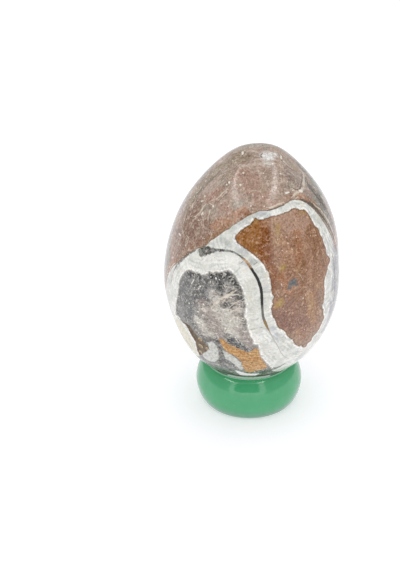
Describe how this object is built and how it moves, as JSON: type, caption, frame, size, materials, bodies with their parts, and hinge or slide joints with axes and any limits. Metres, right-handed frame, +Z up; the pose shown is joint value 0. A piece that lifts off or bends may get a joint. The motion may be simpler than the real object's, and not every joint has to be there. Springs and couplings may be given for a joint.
{
  "type": "polished fossil stone egg on a ring stand",
  "caption": "Polished egg of brown fossil-bearing stone with white calcite bands, point up, resting loose in a glossy green ring stand.",
  "frame": {"origin": "centre of the ring stand's foot, on the surface it stands on", "axes": "+Z up along the egg's length, -Y the front with the cut fossil chambers, +X to the right seen from the front"},
  "size_m": [0.0408, 0.041, 0.065],
  "materials": {
    "fossil_stone": "polished",
    "green_plastic": "gloss"
  },
  "bodies": {
    "root": {"fossil_egg": "fossil_stone", "ring_stand": "green_plastic"}
  },
  "joints": []
}
